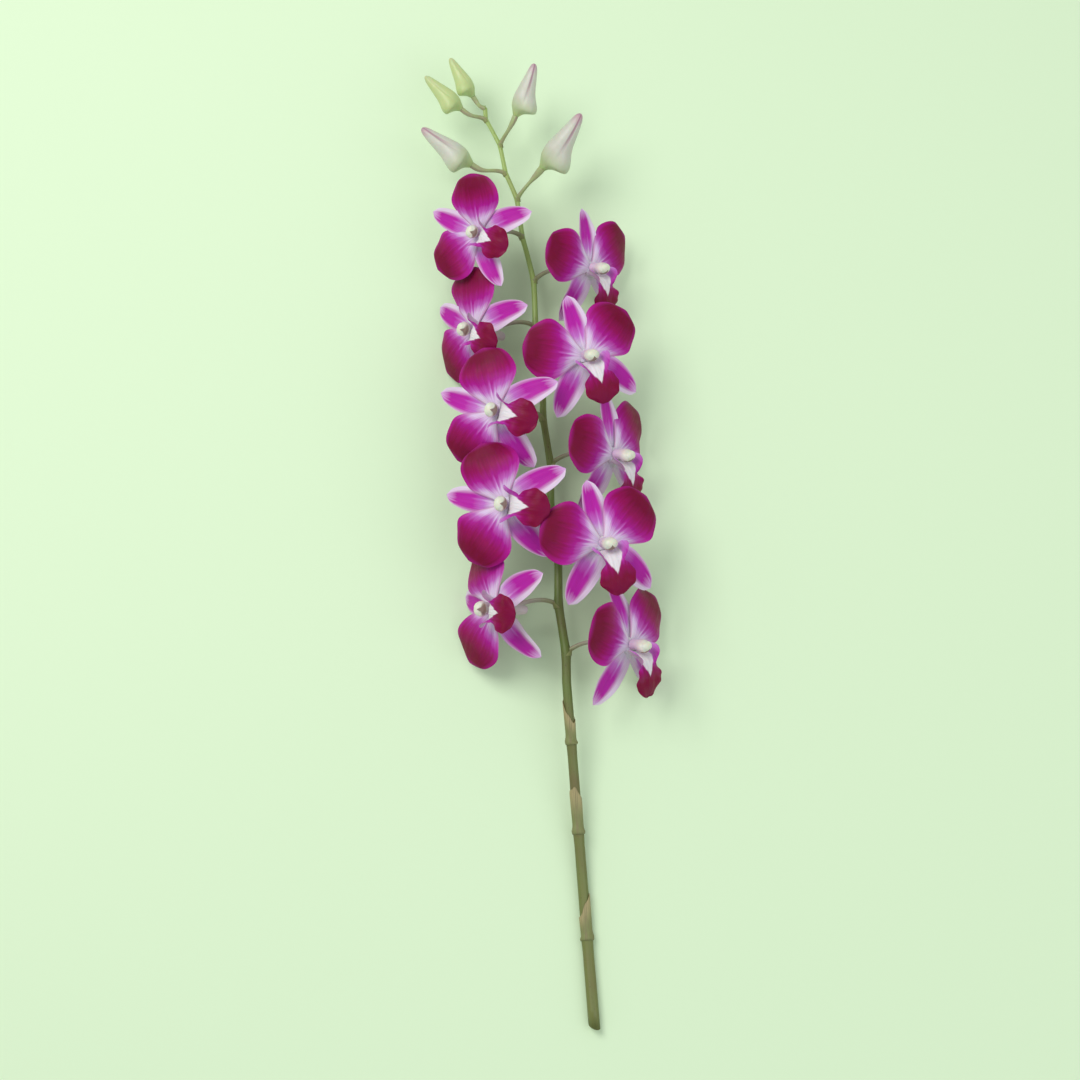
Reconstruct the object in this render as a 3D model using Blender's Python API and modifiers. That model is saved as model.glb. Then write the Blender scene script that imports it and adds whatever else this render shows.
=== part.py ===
"""A cut dendrobium orchid stem that lies on a table.

Metres, +Z up. The stem runs along Y with its tip towards +Y, and the table is at Z = 0. Each flower and bud is
made in its own frame, where +Z is the way that it faces and +Y its upper side, and is then placed by an empty.
"""

import math

import bmesh
import bpy
import numpy as np
from mathutils import Matrix, Vector

GAP = 0.0003  # between pieces that touch on the real stem
ORIGIN = Vector((-0.0006, -0.03117, 0.0))  # middle of the whole stem, in the frame of its route

# The stem
CUT_Y = -0.267
TIP_Y = 0.181
LEVEL_UNTIL_Y = -0.225
RAISED_FROM_Y = -0.060
RAISED_Z = 0.0200
TIP_DROP = 0.002
TIP_BEND = 0.0177
TIP_BEND_FROM_Y = 0.060
SIDEWAYS_SLOPE = -0.080
STRAIGHT_Y = 0.045
CUT_RADIUS = 0.0027
FIRST_FLOWER_RADIUS = 0.0021
TIP_RADIUS = 0.0009
JOINT_SWELL = 1.12
ZIGZAG = 0.0009
CUT_SLANT = math.radians(35)
PRESSED_FLAT = 0.0002  # how much of the level run lies flat on the table
SHEATH_Y = (-0.226, -0.176, -0.134)
SHEATH_LENGTH = 0.017
SHEATH_STAND = 0.0006
BRACT_LENGTH = 0.0042

# The flowers
FLOWER_COUNT = 10
FIRST_FLOWER_Y = -0.092
FLOWER_SPACING = 0.023
STALK_ANGLE = math.radians(55)  # between the stem and a stalk where it leaves
STALK_RADIUS = 0.00105
STALK_CURVE = 0.42  # how far its ends keep their directions, as a share of its length
STALK_STRAIGHT = 0.0015  # its last run, straight into the flower's back
OVARY_RADIUS = 0.0019
LEAN = math.radians(10)  # of each flower's face towards the cut end
HUB_RADIUS = 0.0042
HUB_FRONT = 0.0012
COLUMN_GAP = 0.0004  # between the column and the hub
COLUMN_WIDTH = 1.20  # its width as a share of its depth
COLLAR_BACK = 0.0060
COLLAR_SIDE = 0.0012  # the stalk joins the flower's back a little above its middle
BLADE_THICKNESS = 0.00075
BLADE_ROOT_RADIUS = 0.0015
LIP_THICKNESS = 0.0007
LIP_LENGTH = 0.0265
LIP_ROOT_Y = -0.0026
LIP_ROOT_Z = HUB_FRONT + 0.0006
LOBE_WALL = math.radians(62)  # how steeply the side lobes stand
LOBE_FLARE = math.radians(50)  # how far their margins bend outwards

# The buds
BUD_COUNT = 5
FIRST_BUD_Y = 0.134
BUD_SPACING = 0.0140
BUD_GIRTH = 0.22  # the widest radius as a share of the length
BUD_BACK = 0.22  # where its stalk ends behind it, as a share of the length
BUD_STALK_RADIUS = 0.0009
BUD_STALK_END = 0.30  # the radius there as a share of the widest


class Flower:
    """Where one flower sits. Place and face are angles from straight up, positive towards +X."""

    def __init__(self, place, reach, face, roll, size=1.0, lift=0, drop=None):
        self.place = math.radians(place)
        self.reach = reach
        self.face = math.radians(face)
        self.roll = math.radians(roll)
        self.size = size
        self.lift = math.radians(lift)
        self.drop = drop


# A flower with a drop is lowered by it, so that its lowest tepal rests on the table.
FLOWERS = (
    Flower(place=78, reach=0.031, face=50, roll=22, drop=-0.0029),
    Flower(place=-78, reach=0.031, face=-50, roll=74, drop=-0.0004),
    Flower(place=44, reach=0.031, face=18, roll=17),
    Flower(place=-44, reach=0.031, face=-16, roll=80),
    Flower(place=78, reach=0.031, face=52, roll=20, drop=-0.0011),
    Flower(place=-46, reach=0.031, face=-18, roll=72, size=0.98),
    Flower(place=44, reach=0.030, face=18, roll=22, size=0.97),
    Flower(place=-77, reach=0.030, face=-44, roll=60, size=0.95, drop=0.0028),
    Flower(place=76, reach=0.029, face=48, roll=18, size=0.93, drop=0.0007),
    Flower(place=-50, reach=0.027, face=-30, roll=60, size=0.88, lift=11),
)


class Bud:
    """Where one bud sits. Pitch is how far its point turns from sideways towards the tip of the stem."""

    def __init__(self, place, reach, advance, face, pitch, roll, length):
        self.place = math.radians(place)
        self.reach = reach
        self.advance = advance
        self.face = math.radians(face)
        self.pitch = math.radians(pitch)
        self.roll = math.radians(roll)
        self.length = length


BUDS = (
    Bud(place=60, reach=0.023, advance=0.012, face=58, pitch=26, roll=20, length=0.0270),
    Bud(place=-70, reach=0.020, advance=0.011, face=-70, pitch=46, roll=20, length=0.0245),
    Bud(place=55, reach=0.018, advance=0.012, face=60, pitch=40, roll=10, length=0.0220),
    Bud(place=-60, reach=0.014, advance=0.011, face=-65, pitch=56, roll=10, length=0.0195),
    Bud(place=-80, reach=0.004, advance=0.012, face=-40, pitch=72, roll=0, length=0.0180),
)


class Blade:
    """The outline and bend of a petal or sepal, and how finely it is divided."""

    def __init__(
        self, length, half_width, root, widest, swell, taper, blunt, lift, recurve, arch, rows, columns
    ):
        self.length = length
        self.half_width = half_width
        self.root = root
        self.widest = widest
        self.swell = swell
        self.taper = taper
        self.blunt = blunt
        self.lift = math.radians(lift)
        self.recurve = math.radians(recurve)
        self.arch = math.radians(arch)
        self.rows = rows
        self.columns = columns


PETAL = Blade(0.0315, 0.0150, 0.17, 0.56, 1.3, 0.62, 0.05, lift=12, recurve=30, arch=22, rows=6, columns=4)
DORSAL_SEPAL = Blade(0.0305, 0.0064, 0.60, 0.42, 1.0, 0.70, 0.04, lift=2, recurve=22, arch=-8, rows=4, columns=2)
SIDE_SEPAL = Blade(0.0315, 0.0072, 0.62, 0.40, 1.0, 0.70, 0.04, lift=-2, recurve=20, arch=-12, rows=4, columns=2)
PETAL_ANGLE = math.radians(60)
SIDE_SEPAL_ANGLE = math.radians(134)
PETAL_BASE_Z = 0.0004
SEPAL_BASE_Z = -0.0013
SIDE_SEPAL_CURVE = 0.0035  # how far its tip curves down sideways


def vary(flower, blade):
    """A fixed small difference from -1 to 1 for one blade of one flower."""
    return math.sin(12.9 * flower + 4.7 * blade)


def smooth(t):
    """0 below 0, 1 above 1, and an even S between."""
    t = min(max(t, 0.0), 1.0)
    return t * t * (3 - 2 * t)


def clear_scene():
    for obj in list(bpy.data.objects):
        bpy.data.objects.remove(obj)


def material(name, colour, roughness):
    made = bpy.data.materials.new(name)
    made.use_nodes = True
    shader = made.node_tree.nodes["Principled BSDF"]
    shader.inputs["Base Color"].default_value = (*colour, 1.0)
    shader.inputs["Roughness"].default_value = roughness
    shader.inputs["Metallic"].default_value = 0.0
    return made


def add_object(name, mesh, collection):
    obj = bpy.data.objects.new(name, mesh)
    collection.objects.link(obj)
    return obj


def evaluated_mesh(obj):
    """The object's mesh with its modifiers or its bevel applied, and its doubles merged."""
    bpy.context.view_layer.update()
    graph = bpy.context.evaluated_depsgraph_get()
    mesh = bpy.data.meshes.new_from_object(obj.evaluated_get(graph))
    bm = bmesh.new()
    bm.from_mesh(mesh)
    bmesh.ops.remove_doubles(bm, verts=bm.verts, dist=1e-6)
    bm.to_mesh(mesh)
    bm.free()
    return mesh


def tube(name, points, radii, sides, collection):
    """A round solid along the points, with its own radius at each."""
    widest = max(radii)
    curve = bpy.data.curves.new(name, "CURVE")
    curve.dimensions = "3D"
    curve.bevel_depth = widest
    curve.bevel_resolution = sides // 2 - 2
    curve.use_fill_caps = True
    spline = curve.splines.new("POLY")
    spline.points.add(len(points) - 1)
    for spline_point, place, radius in zip(spline.points, points, radii):
        spline_point.co = (*place, 1.0)
        spline_point.radius = radius / widest
    guide = add_object(name + "_line", curve, collection)
    mesh = evaluated_mesh(guide)
    bpy.data.objects.remove(guide)
    bpy.data.curves.remove(curve)
    return add_object(name, mesh, collection)


def united(name, base, others, collection):
    """One closed mesh of the base and all the others, which are removed."""
    joined = bpy.data.collections.new(name + "_joined")
    bpy.context.scene.collection.children.link(joined)
    for other in others:
        joined.objects.link(other)
    union = base.modifiers.new("Union", "BOOLEAN")
    union.operation = "UNION"
    union.operand_type = "COLLECTION"
    union.collection = joined
    union.solver = "MANIFOLD"
    mesh = evaluated_mesh(base)
    for used in [base, *others]:
        bpy.data.objects.remove(used)
    bpy.data.collections.remove(joined)
    mesh.name = name
    return add_object(name, mesh, collection)


def solid_sheet(name, place_of, rows, columns, thickness, collection):
    """A thin closed sheet: a grid with u along it and v across it, carried to place_of(u, v) and thickened."""
    bm = bmesh.new()
    bmesh.ops.create_grid(bm, x_segments=rows, y_segments=columns, size=1.0)
    for vertex in bm.verts:
        vertex.co = place_of((vertex.co.x + 1) / 2, vertex.co.y)
    bmesh.ops.triangulate(bm, faces=bm.faces)
    mesh = bpy.data.meshes.new(name)
    bm.to_mesh(mesh)
    bm.free()
    sheet = add_object(name + "_sheet", mesh, collection)
    wall = sheet.modifiers.new("Thickness", "SOLIDIFY")
    wall.thickness = thickness
    wall.offset = 0.0
    solid = evaluated_mesh(sheet)
    bpy.data.objects.remove(sheet)
    return add_object(name, solid, collection)


def cut_flat(obj, point, kept_side):
    """Cuts away what lies behind a plane, in world space, and closes the cut."""
    bm = bmesh.new()
    bm.from_mesh(obj.data)
    bm.transform(obj.matrix_world)
    cut = bmesh.ops.bisect_plane(
        bm,
        geom=[*bm.verts, *bm.edges, *bm.faces],
        dist=1e-7,
        plane_co=point,
        plane_no=kept_side,
        clear_inner=True,
    )
    edges = [item for item in cut["geom_cut"] if isinstance(item, bmesh.types.BMEdge)]
    bmesh.ops.holes_fill(bm, edges=edges)
    bm.transform(obj.matrix_world.inverted())
    bm.to_mesh(obj.data)
    bm.free()


def blade_half_width(blade, u):
    """Rises from the root as a power of a quarter sine to the widest place, then falls as one of an ellipse."""
    if u < blade.widest:
        rise = math.sin(math.pi / 2 * u / blade.widest) ** blade.swell
        return blade.half_width * (blade.root + (1 - blade.root) * rise)
    beyond = (u - blade.widest) / (1 - blade.widest + blade.blunt)
    return blade.half_width * (1 - beyond**2) ** blade.taper


def blade_place(blade, angle, base_z, lift, recurve, sideways):
    """The place of (u, v) on a blade that leaves the flower's centre at an angle from its upper side.

    Its middle line is an arc in the plane of that angle, which starts at the lift and bends back by the
    recurve. Across, it is an arc of the half width and the arch angle. Sideways moves the tip round.
    """
    outward = Vector((math.sin(angle), math.cos(angle), 0.0))
    across = Vector((math.cos(angle), -math.sin(angle), 0.0))
    ahead = Vector((0.0, 0.0, 1.0))

    def place_of(u, v):
        turned = lift - recurve * u
        out = BLADE_ROOT_RADIUS + blade.length * (math.sin(lift) - math.sin(turned)) / recurve
        rise = base_z + blade.length * (math.cos(turned) - math.cos(lift)) / recurve
        front = ahead * math.cos(turned) - outward * math.sin(turned)
        half = blade_half_width(blade, u)
        aside = half * math.sin(blade.arch * v) / blade.arch + sideways * u * u
        back = half * (1 - math.cos(blade.arch * v)) / blade.arch
        return outward * out + ahead * rise + across * aside - front * back

    return place_of


def lip_half_width(s):
    """Two humps along the lip: the side lobes near the column and the wide middle lobe."""
    side = math.sin(math.pi * min(max((s + 0.03) / 0.44, 0.0), 1.0)) ** 0.6
    middle = max(1 - ((s - 0.68) / 0.335) ** 2, 0.0) ** 0.65
    return math.hypot(0.0034 * (1 - s), 0.0106 * side, 0.0092 * middle)


def lip_turn(s):
    """The angle of the lip's middle line from straight ahead: forward, then down, then a little back."""
    return math.radians(22 + 64 * smooth((s - 0.12) / 0.36) + 30 * smooth((s - 0.55) / 0.45))


def lip_wall(s, arc):
    """How steeply the lip's sheet turns up, at an arc length from its middle line."""
    wall = LOBE_WALL * (1 - smooth((s - 0.34) / 0.12)) * smooth((arc - 0.0024) / 0.0042)
    flare = LOBE_FLARE * (1 - smooth((s - 0.30) / 0.10)) * smooth((arc - 0.0070) / 0.0036)
    return wall - flare - math.radians(14) * smooth((s - 0.5) / 0.2) * smooth(arc / 0.009)


def lip_place(u, v):
    """The place of (u, v) on the lip. Both the middle line and the line across are sums of short steps."""
    steps = 40
    y = LIP_ROOT_Y
    z = LIP_ROOT_Z
    for i in range(steps):
        turn = lip_turn(u * (i + 0.5) / steps)
        y -= math.sin(turn) * u * LIP_LENGTH / steps
        z += math.cos(turn) * u * LIP_LENGTH / steps
    reach = abs(v) * lip_half_width(u)
    aside = 0.0
    up = 0.0
    for i in range(steps):
        slope = lip_wall(u, reach * (i + 0.5) / steps)
        aside += math.cos(slope) * reach / steps
        up += math.sin(slope) * reach / steps
    turn = lip_turn(u)
    return Vector((math.copysign(aside, v), y + math.cos(turn) * up, z + math.sin(turn) * up))


def route(y):
    """The middle line of the stem without its zigzag: a straight run that bends to the left at its tip."""
    bend = max((y - TIP_BEND_FROM_Y) / (TIP_Y - TIP_BEND_FROM_Y), 0.0) ** 2.3
    x = SIDEWAYS_SLOPE * (y - STRAIGHT_Y) - TIP_BEND * bend
    low = CUT_RADIUS - PRESSED_FLAT
    rise = smooth((y - LEVEL_UNTIL_Y) / (RAISED_FROM_Y - LEVEL_UNTIL_Y))
    drop = smooth((y - TIP_BEND_FROM_Y) / (TIP_Y - TIP_BEND_FROM_Y))
    z = low + (RAISED_Z - low) * rise - TIP_DROP * drop
    return Vector((x, y, z)) - ORIGIN


def stem_radius(y):
    if y < FIRST_FLOWER_Y:
        share = (y - CUT_Y) / (FIRST_FLOWER_Y - CUT_Y)
        return CUT_RADIUS + (FIRST_FLOWER_RADIUS - CUT_RADIUS) * share
    share = (y - FIRST_FLOWER_Y) / (TIP_Y - FIRST_FLOWER_Y)
    return FIRST_FLOWER_RADIUS + (TIP_RADIUS - FIRST_FLOWER_RADIUS) * share


def joint_y(index):
    """The Y of a joint that carries a flower or a bud, counted from the cut end. The last bud is at the tip."""
    if index < FLOWER_COUNT:
        return FIRST_FLOWER_Y + FLOWER_SPACING * index
    if index == FLOWER_COUNT + BUD_COUNT - 1:
        return TIP_Y
    return FIRST_BUD_Y + BUD_SPACING * (index - FLOWER_COUNT)


def frame_at(y):
    """Unit vectors along the stem, to its right and up, at a place along its route."""
    along = (route(y + 0.001) - route(y - 0.001)).normalized()
    up = (Vector((0, 0, 1)) - along * along.z).normalized()
    return along, along.cross(up), up


def joint_point(index):
    """The middle of the stem at a joint, moved to the side that its stalk leaves from."""
    y = joint_y(index)
    _, right, _ = frame_at(y)
    side = 1 if index % 2 == 0 else -1
    return route(y) + right * (ZIGZAG * side)


def side_way(index, place):
    """The unit vector from the stem's middle line towards a place round it."""
    _, right, up = frame_at(joint_y(index))
    return right * math.sin(place) + up * math.cos(place)


def frame_matrix(centre, facing, upper_hint, roll):
    """A frame at the centre that faces one way, with its upper side turned by the roll towards -X."""
    upper = (upper_hint - facing * facing.dot(upper_hint)).normalized()
    level = upper.cross(facing)
    rolled_upper = upper * math.cos(roll) - level * math.sin(roll)
    rolled_level = level * math.cos(roll) + upper * math.sin(roll)
    turned = Matrix((rolled_level, rolled_upper, facing)).transposed().to_4x4()
    return Matrix.Translation(centre) @ turned


def flower_matrix(index):
    flower = FLOWERS[index]
    centre = joint_point(index) + side_way(index, flower.place) * flower.reach
    centre.z -= flower.drop or 0.0
    level = math.cos(LEAN)
    facing = Vector((math.sin(flower.face) * level, -math.sin(LEAN), math.cos(flower.face) * level))
    return frame_matrix(centre, facing, Vector((0, 1, 0)), flower.roll)


def bud_matrix(number):
    bud = BUDS[number]
    index = FLOWER_COUNT + number
    along, _, _ = frame_at(joint_y(index))
    centre = joint_point(index) + along * bud.advance + side_way(index, bud.place) * bud.reach
    facing = side_way(index, bud.face) * math.cos(bud.pitch) + along * math.sin(bud.pitch)
    return frame_matrix(centre, facing, along, bud.roll)


def make_tepals(name, index, collection):
    """Sepals, petals, hub and spur of one flower, joined in one body."""
    flower = FLOWERS[index]
    hub = tube(
        name + "_hub",
        [(0, COLLAR_SIDE, -COLLAR_BACK), (0, COLLAR_SIDE, -0.0038), (0, 0, -0.0018), (0, 0, HUB_FRONT)],
        [OVARY_RADIUS, 0.0024, HUB_RADIUS, HUB_RADIUS * 0.92],
        8,
        collection,
    )
    spur = tube(
        name + "_spur",
        [
            (0, -0.0006, -0.0024),
            (0, -0.0046, -0.0040),
            (0, -0.0082, -0.0070),
            (0, -0.0104, -0.0100),
            (0, -0.0109, -0.0109),
        ],
        [0.0030, 0.0036, 0.0030, 0.0021, 0.0011],
        6,
        collection,
    )
    kinds = (
        (DORSAL_SEPAL, 0.0, SEPAL_BASE_Z, 0.0),
        (PETAL, PETAL_ANGLE, PETAL_BASE_Z, 0.0),
        (PETAL, -PETAL_ANGLE, PETAL_BASE_Z, 0.0),
        (SIDE_SEPAL, SIDE_SEPAL_ANGLE, SEPAL_BASE_Z, SIDE_SEPAL_CURVE),
        (SIDE_SEPAL, -SIDE_SEPAL_ANGLE, SEPAL_BASE_Z, -SIDE_SEPAL_CURVE),
    )
    blades = []
    for number, (blade, angle, base_z, sideways) in enumerate(kinds):
        place_of = blade_place(
            blade,
            angle + math.radians(3) * vary(index, number),
            base_z,
            blade.lift + flower.lift + math.radians(3) * vary(index, number + 5),
            blade.recurve * (1 + 0.25 * vary(index, number + 10)),
            sideways,
        )
        blades.append(
            solid_sheet(
                f"{name}_{number}", place_of, blade.rows, blade.columns, BLADE_THICKNESS, collection
            )
        )
    return united(name, hub, [spur, *blades], collection)


def make_lip(name, collection):
    return solid_sheet(name, lip_place, 9, 6, LIP_THICKNESS, collection)


def make_column(name, collection):
    """The column: a stout rod that bends over the lip, with a rounded cap."""
    base = HUB_FRONT + COLUMN_GAP
    column = tube(
        name,
        [
            (0, 0.0009, base),
            (0, 0.0008, base + 0.0030),
            (0, 0.0003, base + 0.0060),
            (0, -0.0007, base + 0.0082),
            (0, -0.0016, base + 0.0095),
        ],
        [0.0026, 0.0025, 0.0031, 0.0029, 0.0014],
        8,
        collection,
    )
    column.data.transform(Matrix.Diagonal((COLUMN_WIDTH, 1.0, 1.0, 1.0)))
    return column


def make_bud(name, length, collection):
    """A closed bud: a long pointed body, and a shorter blunt heel that will be the spur."""
    girth = BUD_GIRTH * length
    body_line = [-0.22, -0.13, 0.0, 0.20, 0.42, 0.66, 0.88, 1.0]
    body_girth = [0.32, 0.56, 0.90, 1.0, 0.88, 0.66, 0.43, 0.20]
    body = tube(
        name + "_body",
        [(0, 0.10 * length * max(t, 0.0) ** 2, length * t) for t in body_line],
        [girth * share for share in body_girth],
        8,
        collection,
    )
    heel_line = [0.0, 0.35, 0.7, 0.92, 1.0]
    heel_girth = [0.84, 0.84, 0.72, 0.52, 0.28]
    heel = tube(
        name + "_heel",
        [(0, -0.38 * length * t, 0.10 * length - 0.10 * length * t * t) for t in heel_line],
        [girth * share for share in heel_girth],
        8,
        collection,
    )
    return united(name, body, [heel], collection)


def stalk_line(start, leaving, end, arriving, count):
    """Points along a cubic curve from start to end that leaves and arrives in the given directions."""
    reach = (end - start).length * STALK_CURVE
    first = start + leaving * reach
    second = end - arriving * reach
    points = []
    for i in range(count):
        t = i / (count - 1)
        ends = start * (1 - t) ** 3 + end * t**3
        points.append(ends + first * 3 * t * (1 - t) ** 2 + second * 3 * t**2 * (1 - t))
    return points


def make_stalk(name, index, place, matrix, side, back, radius, end_radius, collection):
    """The stalk from a joint of the stem to the back of a flower or bud, where it swells."""
    along, _, _ = frame_at(joint_y(index))
    leaving = along * math.cos(STALK_ANGLE) + side_way(index, place) * math.sin(STALK_ANGLE)
    facing = matrix.to_3x3() @ Vector((0, 0, 1))
    end = matrix @ Vector((0, side, -back)) - facing * GAP
    points = stalk_line(joint_point(index), leaving, end - facing * STALK_STRAIGHT, facing, 7)
    points.append(end)
    swell = [0.0, 0.0, 0.0, 0.0, 0.10, 0.35, 0.80, 1.0]
    radii = [radius + (end_radius - radius) * share for share in swell]
    return tube(name, points, radii, 6, collection)


def make_bract(name, index, place, collection):
    """The small pointed scale below a stalk."""
    along, _, _ = frame_at(joint_y(index))
    radial = side_way(index, place)
    stand = stem_radius(joint_y(index))
    base = joint_point(index) - along * 0.0016
    points = [
        base + radial * stand * 0.4,
        base + radial * (stand + 0.0004) + along * BRACT_LENGTH * 0.4,
        base + radial * (stand + 0.0012) + along * BRACT_LENGTH,
    ]
    return tube(name, points, [0.0013, 0.0011, 0.0004], 6, collection)


def make_axis(collection):
    """The stem's own rod, which turns a little at each joint and swells there."""
    below = np.linspace(CUT_Y - 0.004, FIRST_FLOWER_Y - 0.014, 10)
    points = [route(float(y)) for y in below]
    radii = [stem_radius(float(y)) for y in below]
    for index in range(FLOWER_COUNT + BUD_COUNT):
        points.append(joint_point(index))
        radii.append(stem_radius(joint_y(index)) * JOINT_SWELL)
    return tube("axis", points, radii, 8, collection)


def make_sheath(name, y, collection):
    """A papery sleeve that hugs the stem above one of its lower joints."""
    steps = [-0.0012, 0.0, 0.0020, SHEATH_LENGTH * 0.6, SHEATH_LENGTH]
    stands = [0.3, 1.5, 0.8, 1.3, 0.6]
    line = [route(y + step) for step in steps]
    radii = [stem_radius(y) + SHEATH_STAND * stand for stand in stands]
    return tube(name, line, radii, 8, collection)


def make_stem(flower_matrices, bud_matrices, collection):
    """The stalk from its cut end to its tip, with its sheaths, bracts and flower stalks, as one body."""
    joined = [make_sheath(f"sheath_{i}", y, collection) for i, y in enumerate(SHEATH_Y)]
    for index, flower in enumerate(FLOWERS):
        joined.append(make_bract(f"bract_{index}", index, flower.place, collection))
        joined.append(
            make_stalk(
                f"stalk_{index}",
                index,
                flower.place,
                flower_matrices[index],
                COLLAR_SIDE * flower.size,
                COLLAR_BACK * flower.size,
                STALK_RADIUS,
                OVARY_RADIUS * flower.size,
                collection,
            )
        )
    for number, bud in enumerate(BUDS):
        index = FLOWER_COUNT + number
        if number < BUD_COUNT - 1:
            joined.append(make_bract(f"bract_{index}", index, bud.place, collection))
        joined.append(
            make_stalk(
                f"stalk_{index}",
                index,
                bud.place,
                bud_matrices[number],
                0.0,
                BUD_BACK * bud.length,
                BUD_STALK_RADIUS,
                BUD_STALK_END * BUD_GIRTH * bud.length,
                collection,
            )
        )
    stem = united("stem", make_axis(collection), joined, collection)
    cut_flat(stem, route(CUT_Y), Vector((0.25, math.cos(CUT_SLANT), math.sin(CUT_SLANT))))
    cut_flat(stem, Vector((0, 0, 0)), Vector((0, 0, 1)))
    return stem


def finish(obj, paint):
    obj.data.materials.clear()
    obj.data.materials.append(paint)
    obj.data.shade_smooth()
    obj.data.set_sharp_from_angle(angle=math.radians(50))


def anchor_at(name, matrix, collection):
    anchor = bpy.data.objects.new(name, None)
    anchor.matrix_world = matrix
    anchor.empty_display_size = 0.01
    collection.objects.link(anchor)
    return anchor


def main():
    clear_scene()
    collection = bpy.data.collections.new("dendrobium_orchid_stem")
    bpy.context.scene.collection.children.link(collection)
    tepal_paint = material("petal magenta", (0.42, 0.010, 0.20), 0.55)
    lip_paint = material("lip crimson", (0.17, 0.004, 0.035), 0.50)
    column_paint = material("column white", (0.60, 0.56, 0.60), 0.45)
    bud_paint = material("bud green white", (0.38, 0.47, 0.26), 0.50)
    stem_paint = material("stem green", (0.14, 0.20, 0.05), 0.50)

    flower_matrices = [flower_matrix(index) for index in range(FLOWER_COUNT)]
    for index, flower in enumerate(FLOWERS):
        name = f"bloom_{index + 1:02d}"
        anchor = anchor_at(name, flower_matrices[index], collection)
        tepals = make_tepals(name + "_tepals", index, collection)
        lip = make_lip(name + "_lip", collection)
        column = make_column(name + "_column", collection)
        for piece, paint in ((tepals, tepal_paint), (lip, lip_paint), (column, column_paint)):
            piece.data.transform(Matrix.Scale(flower.size, 4))
            piece.parent = anchor
            finish(piece, paint)
        bpy.context.view_layer.update()
        if flower.drop is not None:
            cut_flat(tepals, Vector((0, 0, 0)), Vector((0, 0, 1)))

    bud_matrices = [bud_matrix(number) for number in range(BUD_COUNT)]
    for number, bud in enumerate(BUDS):
        name = f"bud_{number + 1:02d}"
        bud_piece = make_bud(name, bud.length, collection)
        bud_piece.parent = anchor_at(name + "_place", bud_matrices[number], collection)
        finish(bud_piece, bud_paint)

    finish(make_stem(flower_matrices, bud_matrices, collection), stem_paint)


if __name__ == "__main__":
    main()
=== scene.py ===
"""The looks of a cut dendrobium orchid stem that lies on a pale table.

Every petal, lip, bud and stalk is a grid surface worked out from two parameters, in the places and sizes of
the solids. Metres, +Z up, and the stem runs along Y with its tip towards +Y. A flower's own frame has +Z the
way that the flower faces and +Y its upper side.
"""

import math
from collections import namedtuple

import bmesh
import bpy
import numpy as np
from mathutils import Matrix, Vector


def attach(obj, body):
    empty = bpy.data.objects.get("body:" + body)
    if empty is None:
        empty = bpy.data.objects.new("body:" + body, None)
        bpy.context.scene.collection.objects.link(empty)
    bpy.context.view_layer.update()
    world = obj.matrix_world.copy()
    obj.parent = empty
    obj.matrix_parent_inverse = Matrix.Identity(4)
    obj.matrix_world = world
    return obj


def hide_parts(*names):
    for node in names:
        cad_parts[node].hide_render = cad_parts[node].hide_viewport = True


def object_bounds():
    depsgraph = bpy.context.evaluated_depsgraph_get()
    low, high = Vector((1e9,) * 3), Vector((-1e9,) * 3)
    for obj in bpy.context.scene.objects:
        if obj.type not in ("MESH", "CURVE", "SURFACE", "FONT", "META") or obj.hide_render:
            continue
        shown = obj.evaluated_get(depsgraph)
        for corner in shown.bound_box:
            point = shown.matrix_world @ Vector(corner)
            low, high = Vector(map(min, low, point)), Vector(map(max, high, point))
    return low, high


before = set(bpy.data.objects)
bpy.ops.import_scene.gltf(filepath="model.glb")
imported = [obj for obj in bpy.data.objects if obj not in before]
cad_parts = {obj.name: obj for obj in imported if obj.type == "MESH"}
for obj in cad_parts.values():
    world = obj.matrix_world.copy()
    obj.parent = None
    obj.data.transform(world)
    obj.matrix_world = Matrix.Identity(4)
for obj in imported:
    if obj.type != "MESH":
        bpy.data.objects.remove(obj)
CAD_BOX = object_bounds()

# Sizes that the solids have too
GAP = 0.0003
ORIGIN = np.array((-0.0006, -0.03117, 0.0))
CUT_Y = -0.267
TIP_Y = 0.181
LEVEL_UNTIL_Y = -0.225
RAISED_FROM_Y = -0.060
RAISED_Z = 0.0200
TIP_DROP = 0.002
TIP_BEND = 0.0177
TIP_BEND_FROM_Y = 0.060
SIDEWAYS_SLOPE = -0.080
STRAIGHT_Y = 0.045
CUT_RADIUS = 0.0027
FIRST_FLOWER_RADIUS = 0.0021
TIP_RADIUS = 0.0009
JOINT_SWELL = 1.12
ZIGZAG = 0.0009
CUT_SLANT = math.radians(35)
PRESSED_FLAT = 0.0002
SHEATH_Y = (-0.226, -0.176, -0.134)
SHEATH_LENGTH = 0.017
SHEATH_STAND = 0.0006
BRACT_LENGTH = 0.0042

FLOWER_COUNT = 10
FIRST_FLOWER_Y = -0.092
FLOWER_SPACING = 0.023
ZIGZAG_FROM_Y = FIRST_FLOWER_Y - 0.014
STALK_ANGLE = math.radians(55)
STALK_RADIUS = 0.00105
STALK_CURVE = 0.42  # how far its ends keep their directions, as a share of its length
STALK_STRAIGHT = 0.0015  # its last run, straight into the flower's back
OVARY_RADIUS = 0.0019
LEAN = math.radians(10)
HUB_RADIUS = 0.0042
HUB_FRONT = 0.0012
COLUMN_GAP = 0.0004  # between the column and the hub
COLUMN_WIDTH = 1.20  # its width as a share of its depth
COLLAR_BACK = 0.0060
COLLAR_SIDE = 0.0012
BLADE_ROOT_RADIUS = 0.0015
LIP_LENGTH = 0.0265
LIP_ROOT_Y = -0.0026
LIP_ROOT_Z = HUB_FRONT + 0.0006
LOBE_WALL = math.radians(62)  # how steeply the side lobes stand
LOBE_FLARE = math.radians(50)  # how far their margins bend outwards

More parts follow.
